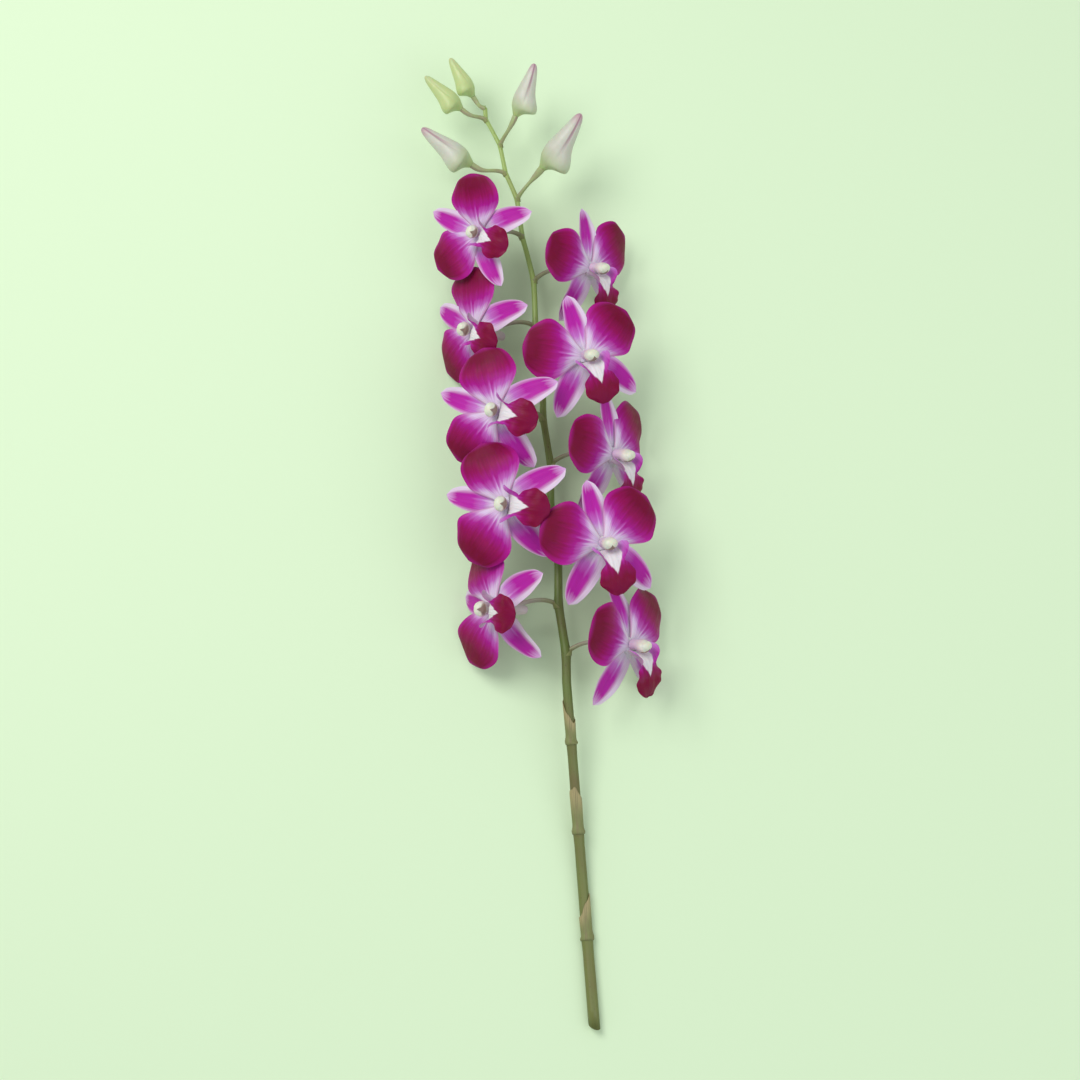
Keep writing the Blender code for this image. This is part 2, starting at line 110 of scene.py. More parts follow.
BUD_COUNT = 5
RIPE_BUDS = 3
FIRST_BUD_Y = 0.134
BUD_SPACING = 0.0140
BUD_GIRTH = 0.22
BUD_BACK = 0.22  # where its stalk ends behind it, as a share of the length
BUD_STALK_RADIUS = 0.0009
BUD_STALK_END = 0.30  # the radius there as a share of the widest

# Sizes of the finer surfaces
BLADE_THICKNESS = 0.00052
LIP_THICKNESS = 0.00048
RESTING_SOFTNESS = 0.0003  # over this height a part that rests on the table bends to it
UP = np.array((0.0, 0.0, 1.0))
SIDEWAYS = np.array((1.0, 0.0, 0.0))


# Where one flower sits: place and face are degrees from straight up, positive towards +X
Flower = namedtuple("Flower", "place reach face roll size lift drop", defaults=(1.0, 0, None))
FLOWERS = (
    Flower(place=78, reach=0.031, face=50, roll=22, drop=-0.0029),
    Flower(place=-78, reach=0.031, face=-50, roll=74, drop=-0.0004),
    Flower(place=44, reach=0.031, face=18, roll=17),
    Flower(place=-44, reach=0.031, face=-16, roll=80),
    Flower(place=78, reach=0.031, face=52, roll=20, drop=-0.0011),
    Flower(place=-46, reach=0.031, face=-18, roll=72, size=0.98),
    Flower(place=44, reach=0.030, face=18, roll=22, size=0.97),
    Flower(place=-77, reach=0.030, face=-44, roll=60, size=0.95, drop=0.0028),
    Flower(place=76, reach=0.029, face=48, roll=18, size=0.93, drop=0.0007),
    Flower(place=-50, reach=0.027, face=-30, roll=60, size=0.88, lift=11),
)

# Where one bud sits: pitch is how many degrees its point turns from sideways towards the tip of the stem
Bud = namedtuple("Bud", "place reach advance face pitch roll length")
BUDS = (
    Bud(place=60, reach=0.023, advance=0.012, face=58, pitch=26, roll=20, length=0.0270),
    Bud(place=-70, reach=0.020, advance=0.011, face=-70, pitch=46, roll=20, length=0.0245),
    Bud(place=55, reach=0.018, advance=0.012, face=60, pitch=40, roll=10, length=0.0220),
    Bud(place=-60, reach=0.014, advance=0.011, face=-65, pitch=56, roll=10, length=0.0195),
    Bud(place=-80, reach=0.004, advance=0.012, face=-40, pitch=72, roll=0, length=0.0180),
)

# The outline and bend of a petal or sepal, with angles in degrees, its relief, and how finely it is divided
Blade = namedtuple(
    "Blade", "length half_width root widest swell taper blunt tip lift recurve arch wave groove around"
)
PETAL = Blade(
    length=0.0315, half_width=0.0150, root=0.17, widest=0.56, swell=1.3, taper=0.62, blunt=0.05, tip=0.5,
    lift=12, recurve=30, arch=22, wave=0.0010, groove=0.00030, around=96,
)
DORSAL_SEPAL = Blade(
    length=0.0305, half_width=0.0064, root=0.60, widest=0.42, swell=1.0, taper=0.70, blunt=0.04, tip=0.8,
    lift=2, recurve=22, arch=-8, wave=0.0004, groove=0.00040, around=56,
)
SIDE_SEPAL = DORSAL_SEPAL._replace(
    length=0.0315, half_width=0.0072, root=0.62, widest=0.40, lift=-2, recurve=20, arch=-12
)
PETAL_ANGLE = math.radians(60)
SIDE_SEPAL_ANGLE = math.radians(134)
PETAL_BASE_Z = 0.0004
SEPAL_BASE_Z = -0.0013
SIDE_SEPAL_CURVE = 0.0035

# How finely the surfaces are divided
BLADE_ROWS = 44
HUB_ROWS, HUB_AROUND = 26, 36
LIP_ROWS, LIP_AROUND = 72, 88
COLUMN_ROWS, COLUMN_AROUND = 48, 48
CAP_ROWS = 26
BUD_ROWS, BUD_AROUND = 72, 72
STALK_ROWS, STALK_AROUND = 44, 30
BRACT_ROWS, BRACT_AROUND = 16, 28
SHEATH_ROWS = 22
AXIS_AROUND = 48

# How square a thin sheet's edges are: 1 is round, less is squarer
TEPAL_EDGE = 0.45
BRACT_EDGE = 0.50

TEPAL_SPREAD = math.radians(3)  # how far the angle and lift of one blade differ between flowers
RECURVE_SPREAD = 0.25
WAVE_PHASES = 5.0  # how far the waves of one blade are shifted between flowers
LIP_PHASES = 6.0


def vary(flower, blade):
    """A fixed small difference from -1 to 1 for one blade of one flower."""
    return math.sin(12.9 * flower + 4.7 * blade)


def smooth(t):
    """0 below 0, 1 above 1, and an even S between."""
    t = np.clip(t, 0.0, 1.0)
    return t * t * (3 - 2 * t)


def unit(vectors):
    return vectors / np.linalg.norm(vectors, axis=-1, keepdims=True)


def bump(t, centre, width):
    """A bell of height 1 round a centre."""
    return np.exp(-(((t - centre) / width) ** 2))


def signed_power(values, power):
    return np.sign(values) * np.abs(values) ** power


def stacked(*parts):
    """Grids, or the rows and columns that span one, as one grid of vectors."""
    return np.stack(np.broadcast_arrays(*parts), axis=-1)


# The stem's route and where its flowers and buds sit, as in the solids


def route(y):
    """The stem's middle line: straight, rising from the table by an S and bent left at its tip by a power."""
    y = np.asarray(y, float)
    bend = np.maximum((y - TIP_BEND_FROM_Y) / (TIP_Y - TIP_BEND_FROM_Y), 0.0) ** 2.3
    x = SIDEWAYS_SLOPE * (y - STRAIGHT_Y) - TIP_BEND * bend
    low = CUT_RADIUS - PRESSED_FLAT
    rise = smooth((y - LEVEL_UNTIL_Y) / (RAISED_FROM_Y - LEVEL_UNTIL_Y))
    drop = smooth((y - TIP_BEND_FROM_Y) / (TIP_Y - TIP_BEND_FROM_Y))
    z = low + (RAISED_Z - low) * rise - TIP_DROP * drop
    return stacked(x, y, z) - ORIGIN


def stem_radius(y):
    """Two straight tapers that meet at the first flower."""
    return np.interp(y, [CUT_Y, FIRST_FLOWER_Y, TIP_Y], [CUT_RADIUS, FIRST_FLOWER_RADIUS, TIP_RADIUS])


def joint_y(index):
    if index < FLOWER_COUNT:
        return FIRST_FLOWER_Y + FLOWER_SPACING * index
    if index == FLOWER_COUNT + BUD_COUNT - 1:
        return TIP_Y
    return FIRST_BUD_Y + BUD_SPACING * (index - FLOWER_COUNT)


def frame_at(y):
    """Unit vectors along the stem, to its right and up, at places along its route."""
    along = unit(route(np.asarray(y) + 0.001) - route(np.asarray(y) - 0.001))
    up = unit(UP - along * along[..., 2:3])
    return along, np.cross(along, up), up


def joint_point(index):
    _, right, _ = frame_at(joint_y(index))
    side = 1 if index % 2 == 0 else -1
    return route(joint_y(index)) + right * (ZIGZAG * side)


def side_way(index, degrees):
    _, right, up = frame_at(joint_y(index))
    place = math.radians(degrees)
    return right * math.sin(place) + up * math.cos(place)


def frame_matrix(centre, facing, upper_hint, roll):
    """A 4 by 4 frame at the centre that faces one way, with its upper side turned by the roll towards -X."""
    upper = unit(upper_hint - facing * facing.dot(upper_hint))
    level = np.cross(upper, facing)
    rolled_level = level * math.cos(roll) + upper * math.sin(roll)
    rolled_upper = upper * math.cos(roll) - level * math.sin(roll)
    matrix = np.eye(4)
    matrix[:3] = stacked(rolled_level, rolled_upper, facing, centre)
    return matrix


def flower_matrix(index):
    flower = FLOWERS[index]
    centre = joint_point(index) + side_way(index, flower.place) * flower.reach
    centre = centre - UP * (flower.drop or 0.0)
    level = math.cos(LEAN)
    face = math.radians(flower.face)
    facing = np.array((math.sin(face) * level, -math.sin(LEAN), math.cos(face) * level))
    return frame_matrix(centre, facing, np.array((0.0, 1.0, 0.0)), math.radians(flower.roll))


def bud_matrix(number):
    bud = BUDS[number]
    index = FLOWER_COUNT + number
    along, _, _ = frame_at(joint_y(index))
    centre = joint_point(index) + along * bud.advance + side_way(index, bud.place) * bud.reach
    pitch = math.radians(bud.pitch)
    facing = side_way(index, bud.face) * math.cos(pitch) + along * math.sin(pitch)
    return frame_matrix(centre, facing, along, math.radians(bud.roll))


def carried(matrix, points):
    return points @ matrix[:3, :3].T + matrix[:3, 3]


def resting(points):
    """Points bent to the table: below a small height, theirs falls off as an exponential, never to 0."""
    low = RESTING_SOFTNESS
    bent = low * np.exp(np.minimum(points[..., 2] - low, 0.0) / low)
    points = points.copy()
    points[..., 2] = np.where(points[..., 2] < low, bent, points[..., 2])
    return points


# Grid surfaces


class Shell:
    """A closed grid surface. Place holds for each point what its material reads: along, across and side."""

    def __init__(self, points, place, paint=0, ends=True):
        self.points = points
        self.place = place
        self.paint = paint
        self.ends = ends

    def flat(self):
        """All points and their places in one list each, with the middle of each end after them."""
        points = self.points.reshape(-1, 3)
        place = self.place.reshape(-1, 3)
        if self.ends:
            points = np.concatenate([points, self.points[[0, -1]].mean(axis=1)])
            place = np.concatenate([place, self.place[[0, -1]].mean(axis=1)])
        return points, place

    def faces(self):
        """Quads between neighbours, closed around, and fans of triangles at the ends or a join of the two."""
        rows, around = self.points.shape[:2]
        last = rows - 1 if self.ends else rows
        i, j = np.meshgrid(np.arange(last), np.arange(around), indexing="ij")
        i_next = (i + 1) % rows
        j_next = (j + 1) % around
        corners = (i * around + j, i_next * around + j, i_next * around + j_next, i * around + j_next)
        quads = stacked(*corners).reshape(-1, 4)
        if not self.ends:
            return quads, np.zeros((0, 3), int)
        j = np.arange(around)
        j_next = (j + 1) % around
        base = (rows - 1) * around
        pole = rows * around
        near = stacked(j, j_next, pole)
        far = stacked(base + j_next, base + j, pole + 1)
        return quads, np.concatenate([near, far])


def shells_mesh(name, shells):
    """One mesh of all the shells, with their places as the attribute place, and faces that point outwards."""
    points, places, loops, sizes, paints = [], [], [], [], []
    first = 0
    for shell in shells:
        flat_points, flat_place = shell.flat()
        quads, triangles = shell.faces()
        points.append(flat_points)
        places.append(flat_place)
        loops += [quads.ravel() + first, triangles.ravel() + first]
        sizes += [np.full(len(quads), 4), np.full(len(triangles), 3)]
        paints.append(np.full(len(quads) + len(triangles), shell.paint))
        first += len(flat_points)
    points = np.concatenate(points)
    loops = np.concatenate(loops)
    sizes = np.concatenate(sizes)
    mesh = bpy.data.meshes.new(name)
    mesh.vertices.add(len(points))
    mesh.vertices.foreach_set("co", points.ravel().astype(np.float32))
    mesh.loops.add(len(loops))
    mesh.loops.foreach_set("vertex_index", loops.astype(np.int32))
    mesh.polygons.add(len(sizes))
    mesh.polygons.foreach_set("loop_start", (np.cumsum(sizes) - sizes).astype(np.int32))
    mesh.update(calc_edges=True)
    mesh.polygons.foreach_set("material_index", np.concatenate(paints).astype(np.int32))
    attribute = mesh.attributes.new("place", "FLOAT_VECTOR", "POINT")
    attribute.data.foreach_set("vector", np.concatenate(places).ravel().astype(np.float32))
    bm = bmesh.new()
    bm.from_mesh(mesh)
    bmesh.ops.recalc_face_normals(bm, faces=bm.faces)
    bm.to_mesh(mesh)
    bm.free()
    mesh.shade_smooth()
    return mesh


def added(name, data):
    """A new object in the scene."""
    made = bpy.data.objects.new(name, data)
    bpy.context.scene.collection.objects.link(made)
    return made


def add_piece(name, shells, paints, node):
    """An object made of the shells that replaces a solid's node and rides on the one body."""
    mesh = shells_mesh(name, shells)
    for paint in paints:
        mesh.materials.append(paint)
    piece = added(name, mesh)
    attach(piece, "root")
    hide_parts(node)


def ring(around):
    """Angles once round, starting half a step from 0."""
    return (np.arange(around) + 0.5) * 2 * np.pi / around


def tube(path, radii, around, level, place_along, paint=0):
    """A round shell along a path: each ring is a circle of its radius, square to the path. Level is a vector
    square to the whole path, and radii may differ round each ring."""
    tangent = unit(np.gradient(path, axis=0))
    level = unit(level - tangent * (tangent @ level)[:, None])
    other = np.cross(tangent, level)
    turn = ring(around)
    out = level[:, None] * np.cos(turn)[:, None] + other[:, None] * np.sin(turn)[:, None]
    points = path[:, None] + out * np.reshape(radii, (len(path), -1, 1))
    return Shell(points, stacked(place_along[:, None], np.cos(turn), np.sin(turn)), paint)


def eased(points, count):
    """Count points on a smooth line through the given ones, a Catmull-Rom spline."""
    points = np.asarray(points, float)
    if points.ndim == 1:
        points = points[:, None]
    ends = np.concatenate([2 * points[:1] - points[1:2], points, 2 * points[-1:] - points[-2:-1]])
    t = np.linspace(0, len(points) - 1, count)
    i = np.minimum(t.astype(int), len(points) - 2)
    f = (t - i)[:, None]
    a, b, c, d = ends[i], ends[i + 1], ends[i + 2], ends[i + 3]
    made = 0.5 * (2 * b + (c - a) * f + (2 * a - 5 * b + 4 * c - d) * f**2 + (3 * b - a - 3 * c + d) * f**3)
    return made[:, 0] if made.shape[1] == 1 else made


# Flowers


def blade_half_width(blade, u):
    """Rises from the root as a power of a quarter sine to the widest place, then falls as one of an ellipse.
    The last tenth closes as a power of a second, short ellipse, round on a petal and pointed on a sepal."""
    rise = np.sin(np.pi / 2 * np.minimum(u / blade.widest, 1.0)) ** blade.swell
    rise = blade.root + (1 - blade.root) * rise
    beyond = np.clip((u - blade.widest) / (1 - blade.widest + blade.blunt), 0.0, 1.0)
    closing = (1 - (0.995 * np.clip((u - 0.90) / 0.10, 0.0, 1.0)) ** 2) ** blade.tip
    return blade.half_width * closing * np.where(u < blade.widest, rise, (1 - beyond**2) ** blade.taper)


def blade_shell(blade, angle, base_z, lift, recurve, sideways, phase, paint):
    """A petal or sepal. Its middle line is an arc from the lift that bends back by the recurve; across, it is
    an arc of the half width and the arch angle. A groove runs up the middle, and waves grow towards the
    margins and die out where it narrows to its tip. The ring goes over the front and back over the back."""
    outward = np.array((math.sin(angle), math.cos(angle), 0.0))
    across = np.array((math.cos(angle), -math.sin(angle), 0.0))
    u = np.sin(np.linspace(0.0, 1.0, BLADE_ROWS) * np.pi / 2)[:, None]
    turn = ring(blade.around)
    v = np.cos(turn)
    wall = signed_power(np.sin(turn), TEPAL_EDGE)
    turned = lift - recurve * u
    out = BLADE_ROOT_RADIUS + blade.length * (math.sin(lift) - np.sin(turned)) / recurve
    rise = base_z + blade.length * (np.cos(turned) - math.cos(lift)) / recurve
    half = blade_half_width(blade, u)
    arch = math.radians(blade.arch)
    aside = half * np.sin(arch * v) / arch + sideways * u * u
    back = half * (1 - np.cos(arch * v)) / arch
    front = UP * np.cos(turned)[..., None] - outward * np.sin(turned)[..., None]
    normal = front * np.cos(arch * v)[..., None] + across * np.sin(arch * v)[..., None]
    w = v * half / blade.half_width  # v, but 0 at the closed tip
    waves = np.sin(6.3 * u + 1.9 * w + phase) + 0.5 * np.sin(12.0 * u - 2.7 * w + 2.3 * phase)
    relief = blade.wave * (waves * (0.25 + w * w) + 0.7 * w * w) * smooth((u - 0.12) / 0.5)
    relief = relief + blade.wave * (math.cos(phase) * w + 0.5 * math.sin(phase)) * smooth((u - 0.2) / 0.6)
    relief = relief - blade.groove * bump(v * half, 0.0, 0.0007) * (1.1 - u) * smooth(u / 0.12)
    relief = relief + blade.groove * 0.35 * np.cos(v * 17.0) * (1 - v * v) * smooth(u / 0.2) * (1 - 0.6 * u)
    thickness = BLADE_THICKNESS * (1.0 + 0.9 * (1 - smooth(u / 0.30)) - 0.45 * v * v)
    thickness = thickness * (0.25 + 0.75 * smooth((1 - u) / 0.02))
    middle = outward * out[..., None] + UP * rise[..., None] + across * aside[..., None]
    middle = middle - front * back[..., None]
    points = middle + normal * (relief + wall * thickness / 2)[..., None]
    place = stacked(u, v * (1 if angle >= 0 else -1), wall)
    return Shell(points, place, paint)


def hub_shells():
    """The flower's short neck, from the collar on its stalk to its face, and the blunt spur behind."""
    neck_line = [
        (0, COLLAR_SIDE, -COLLAR_BACK), (0, COLLAR_SIDE, -0.0038), (0, 0, -0.0018), (0, 0, HUB_FRONT)
    ]
    neck_path = eased(neck_line, HUB_ROWS)
    neck_radii = eased([OVARY_RADIUS, 0.0024, HUB_RADIUS, HUB_RADIUS * 0.92], HUB_ROWS)
    neck_radii[-3:] *= np.array((0.97, 0.88, 0.70))
    spur_line = [
        (0, -0.0006, -0.0024), (0, -0.0046, -0.0040), (0, -0.0082, -0.0070), (0, -0.0104, -0.0100),
        (0, -0.0109, -0.0109),
    ]
    spur_radii = eased([0.0030, 0.0036, 0.0030, 0.0021, 0.0011], HUB_ROWS)
    share = np.linspace(0, 1, HUB_ROWS)
    neck = tube(neck_path, neck_radii, HUB_AROUND, SIDEWAYS, share, 2)
    return [neck, tube(eased(spur_line, HUB_ROWS), spur_radii, HUB_AROUND, SIDEWAYS, 1 + share, 2)]


def tepal_shells(index):
    """The hub, three sepals and two petals of one flower, in its own frame."""
    flower = FLOWERS[index]
    kinds = (
        (DORSAL_SEPAL, 0.0, SEPAL_BASE_Z, 0.0, 1),
        (PETAL, PETAL_ANGLE, PETAL_BASE_Z, 0.0, 0),
        (PETAL, -PETAL_ANGLE, PETAL_BASE_Z, 0.0, 0),
        (SIDE_SEPAL, SIDE_SEPAL_ANGLE, SEPAL_BASE_Z, SIDE_SEPAL_CURVE, 1),
        (SIDE_SEPAL, -SIDE_SEPAL_ANGLE, SEPAL_BASE_Z, -SIDE_SEPAL_CURVE, 1),
    )
    shells = hub_shells()
    for number, (blade, angle, base_z, sideways, paint) in enumerate(kinds):
        angle = angle + TEPAL_SPREAD * vary(index, number)
        lift = math.radians(blade.lift) + math.radians(flower.lift) + TEPAL_SPREAD * vary(index, number + 5)
        recurve = math.radians(blade.recurve) * (1 + RECURVE_SPREAD * vary(index, number + 10))
        phase = WAVE_PHASES * vary(index, number + 15)
        shells.append(blade_shell(blade, angle, base_z, lift, recurve, sideways, phase, paint))
    return shells


def lip_half_width(s):
    """Two humps along the lip: the side lobes near the column and the wide middle lobe."""
    side = np.sin(np.pi * np.clip((s + 0.03) / 0.44, 0.0, 1.0)) ** 0.6
    middle = np.maximum(1 - ((s - 0.68) / 0.335) ** 2, 0.0) ** 0.65
    return np.sqrt((0.0034 * (1 - s)) ** 2 + (0.0106 * side) ** 2 + (0.0092 * middle) ** 2)


def lip_turn(s):
    """The angle of the lip's middle line from straight ahead: forward, then down, then a little back."""
    return np.radians(22 + 64 * smooth((s - 0.12) / 0.36) + 30 * smooth((s - 0.55) / 0.45))


def lip_wall(s, arc):
    """How steeply the lip's sheet turns up, at an arc length from its middle line."""
    wall = LOBE_WALL * (1 - smooth((s - 0.34) / 0.12)) * smooth((arc - 0.0024) / 0.0042)
    flare = LOBE_FLARE * (1 - smooth((s - 0.30) / 0.10)) * smooth((arc - 0.0070) / 0.0036)
    return wall - flare - np.radians(14) * smooth((s - 0.5) / 0.2) * smooth(arc / 0.009)


def lip_shell(phase):
    """The lip. Its middle line and the line across are running sums of short steps along their angles. Three
    keels run up its throat, and waves grow towards the margin of its middle lobe."""
    s = (1 - np.cos(np.linspace(0.0, 1.0, LIP_ROWS) * np.pi))[:, None] / 2
    turn = ring(LIP_AROUND)
    v = np.cos(turn)
    wall = signed_power(np.sin(turn), TEPAL_EDGE)
    fine = np.linspace(0.0, 1.0, 801)
    step = LIP_LENGTH / 800
    angles = lip_turn((fine[:-1] + fine[1:]) / 2)
    line_y = np.concatenate([[0.0], -np.cumsum(np.sin(angles)) * step]) + LIP_ROOT_Y
    line_z = np.concatenate([[0.0], np.cumsum(np.cos(angles)) * step]) + LIP_ROOT_Z
    scallops = 1 + 0.035 * np.sin(23 * s + phase + 1.2 * np.sign(v)) * smooth((s - 0.45) / 0.1)
    reach = np.abs(v) * lip_half_width(s) * scallops
    shares = (np.arange(32) + 0.5) / 32
    slopes = lip_wall(s[..., None], reach[..., None] * shares)
    aside = np.sign(v) * np.cos(slopes).mean(axis=-1) * reach
    up = np.sin(slopes).mean(axis=-1) * reach
    edge = lip_wall(s, reach)
    turned = lip_turn(s)
    y = np.interp(s, fine, line_y)
    z = np.interp(s, fine, line_z)
    rising = stacked(0 * turned, np.cos(turned), np.sin(turned))
    normal = rising * np.cos(edge)[..., None] - SIDEWAYS * (np.sin(edge) * np.sign(v))[..., None]
    keels = sum(bump(aside, x, 0.00042) for x in (-0.0013, 0.0, 0.0013))
    relief = 0.00045 * keels * smooth((s - 0.10) / 0.1) * (1 - smooth((s - 0.50) / 0.12))
    waves = np.sin(17 * s + 2.5 * v + phase) + 0.5 * np.sin(31 * s - 4 * v + phase)
    relief = relief + 0.00065 * waves * np.abs(v) ** 2.4 * smooth((s - 0.05) / 0.2)
    relief = relief + 0.0005 * np.cos(2.6 * np.pi * v) * smooth((s - 0.55) / 0.15) * (1.1 - s)
    relief = relief - 0.0006 * bump(aside, 0.0, 0.0011) * smooth((s - 0.56) / 0.1) * (1.05 - s)
    thickness = LIP_THICKNESS * (1.0 - 0.4 * v * v) * (0.3 + 0.7 * smooth((1 - s) / 0.03))
    middle = SIDEWAYS * aside[..., None] + rising * up[..., None]
    middle[..., 1] += y
    middle[..., 2] += z
    points = middle + normal * (relief + wall * thickness / 2)[..., None]
    place = stacked(s, np.sign(v) * reach * 100, wall)
    return Shell(points, place)


def column_shells():
    """The column: a stout rod that bends over the lip, with a round end that is hollow in its lower half, and
    the cap that covers the upper half."""
    base = HUB_FRONT + COLUMN_GAP
    line = [
        (0, 0.0009, 0), (0, 0.0008, 0.0030), (0, 0.0003, 0.0060), (0, -0.0007, 0.0082), (0, -0.0014, 0.0093)
    ]
    path = eased(line, COLUMN_ROWS) + UP * base
    share = np.linspace(0, 1, COLUMN_ROWS)
    radii = eased([0.0026, 0.0025, 0.0031, 0.0029, 0.0019], COLUMN_ROWS)
    radii[-6:] *= np.array((0.98, 0.93, 0.84, 0.70, 0.48, 0.20))
    turn = ring(COLUMN_AROUND)
    hollow = bump(share, 0.80, 0.09)[:, None] * bump(np.sin(turn), -0.85, 0.40)
    rod = tube(path, radii[:, None] * (1 - 0.28 * hollow), COLUMN_AROUND, SIDEWAYS, share)
    rise = np.linspace(0.05, np.pi - 0.05, CAP_ROWS)
    cap_y = 0.0012 - 0.0009 * (1 - np.cos(rise))
    cap_path = stacked(0 * rise, cap_y, base + 0.0082 - 0.0021 * np.cos(rise))
    flatter = 1 - 0.10 * np.maximum(np.sin(turn), 0.0) - 0.12 * np.maximum(-np.sin(turn), 0.0)
    cap_radii = 0.0028 * np.sin(rise)[:, None] * flatter
    furrow = 1 - 0.07 * np.outer(np.sin(rise), bump(turn, 0.5 * np.pi, 0.16))
    furrow = furrow - 0.30 * np.outer(bump(rise, 2.0, 0.6), bump(turn, 1.5 * np.pi, 0.30))
    cap = tube(cap_path, cap_radii * furrow, COLUMN_AROUND, SIDEWAYS, 2 + np.linspace(0, 1, CAP_ROWS))
    for shell in (rod, cap):
        shell.points[..., 0] *= COLUMN_WIDTH
    return [rod, cap]


# Buds


BUD_HEEL = 0.0  # where along the bud its heel stands out most
BUD_SEAMS = (np.radians(90.0), np.radians(212.0), np.radians(328.0))


def bud_shells(length):
    """A closed bud: a long blunt body with three shallow seams. Near its base one side bulges to a blunt heel,
    over a short bell towards the stalk and a long one towards the tip."""
    girth = BUD_GIRTH * length
    t = eased([-0.22, -0.13, 0.0, 0.20, 0.42, 0.66, 0.88, 1.0], BUD_ROWS)
    radii = girth * eased([0.32, 0.56, 0.88, 1.0, 0.88, 0.66, 0.43, 0.20], BUD_ROWS)
    radii[-4:] *= np.array((0.97, 0.90, 0.76, 0.45))
    path = stacked(0 * t, 0.10 * length * np.maximum(t, 0.0) ** 2, length * t)
    turn = ring(BUD_AROUND)
    seams = sum(bump(np.angle(np.exp(1j * (turn - seam))), 0.0, 0.10) for seam in BUD_SEAMS)
    grown = smooth((t + 0.05) / 0.3)
    radii = radii[:, None] * (1 - 0.07 * grown[:, None] * seams)
    bulge = np.where(t > BUD_HEEL, bump(t, BUD_HEEL, 0.25), bump(t, BUD_HEEL, 0.085))
    radii = radii + 0.205 * length * bulge[:, None] * np.maximum(-np.sin(turn), 0.0) ** 1.7
    return [tube(path, radii, BUD_AROUND, SIDEWAYS, t)]


# Stalks, axis, bracts and sheaths


def stalk_shell(index, place, matrix, side, back, radius, end_radius, paint):
    """The stalk from a joint of the stem to a flower's back: a cubic curve and a short straight end, with six
    shallow ribs. It flares where it leaves the stem, swells to its end by an S, and ends just inside."""
    along, _, _ = frame_at(joint_y(index))
    leaving = along * math.cos(STALK_ANGLE) + side_way(index, place) * math.sin(STALK_ANGLE)
    facing = matrix[:3, 2]
    end = carried(matrix, np.array((0.0, side, -back))) - facing * GAP
    start = joint_point(index)
    last = end - facing * STALK_STRAIGHT
    reach = np.linalg.norm(last - start) * STALK_CURVE
    first_pull = start + leaving * reach
    second_pull = last - facing * reach
    t = np.linspace(0, 1, STALK_ROWS)[:, None]
    curve = start * (1 - t) ** 3 + last * t**3 + 3 * t * (1 - t) * (first_pull * (1 - t) + second_pull * t)
    path = np.concatenate([curve, (last + end)[None] / 2, (end + facing * 2 * GAP)[None]])
    share = np.linspace(0, 1, len(path))
    distance = np.linalg.norm(path - start, axis=-1)
    swell = smooth((share - 0.50) / 0.50)
    radii = radius + (end_radius - radius) * swell + 0.0006 * np.exp(-distance / 0.0016)
    ribs = 1 + 0.035 * np.cos(6 * ring(STALK_AROUND) + 4 * share[:, None])
    level = np.cross(leaving, facing)
    return tube(path, radii[:, None] * ribs, STALK_AROUND, level, share, paint)


def bract_shell(index, degrees):
    """The small pointed scale below a stalk: it hugs the stem over an angle that shrinks towards its tip."""
    along, right, up = frame_at(joint_y(index))
    stand = stem_radius(joint_y(index)) * 1.05
    base = joint_point(index) - along * 0.0016
    u = np.linspace(0, 1, BRACT_ROWS)[:, None]
    turn = ring(BRACT_AROUND)
    v = np.cos(turn)
    wall = signed_power(np.sin(turn), BRACT_EDGE)
    angle = math.radians(degrees) + v * np.radians(88) * (1 - u) ** 0.75
    out = right * np.sin(angle)[..., None] + up * np.cos(angle)[..., None]
    stands_off = stand + 0.00025 + 0.0011 * u**1.6 + wall * 0.00014
    points = base + along * (BRACT_LENGTH * u * (1 - 0.1 * v * v))[..., None] + out * stands_off[..., None]
    return Shell(points, stacked(u, v, wall))


def sheath_shell(y, turn_from):
    """A papery sleeve round the stem: its wall is a closed loop, up the outside and down the inside, and its
    upper rim rises to a slanted point on one side."""
    up_the_wall = np.linspace(0, 1, SHEATH_ROWS)
    profile = np.concatenate([up_the_wall, up_the_wall[::-1]])[:, None]
    outer = np.repeat((1.0, 0.0), SHEATH_ROWS)[:, None]
    turn = ring(AXIS_AROUND)
    rim = 0.88 + 0.34 * np.cos(turn - turn_from) + 0.03 * np.sin(5 * turn)
    place_y = y - 0.0012 + (SHEATH_LENGTH * rim + 0.0012) * profile
    _, right, up = frame_at(place_y)
    foot = 1.1 * bump(profile, 0.07, 0.09)
    stand = SHEATH_STAND * (0.35 + foot + 0.5 * profile + 0.25 * np.sin(3 * turn) * profile)
    folds = 1 + 0.012 * np.cos(17 * turn)
    radius = (stem_radius(place_y) + stand) * folds - 0.00022 * (1 - outer)
    out = right * np.cos(turn)[..., None] + up * np.sin(turn)[..., None]
    points = route(place_y) + out * radius[..., None]
    return Shell(points, stacked(profile, np.cos(turn), np.sin(turn)), ends=False)


# Widths and heights of the rings that close the stem's tip, as shares of its radius
TIP_ROUNDING = ((0.92, 0.38), (0.70, 0.70), (0.38, 0.92), (0.12, 0.99))


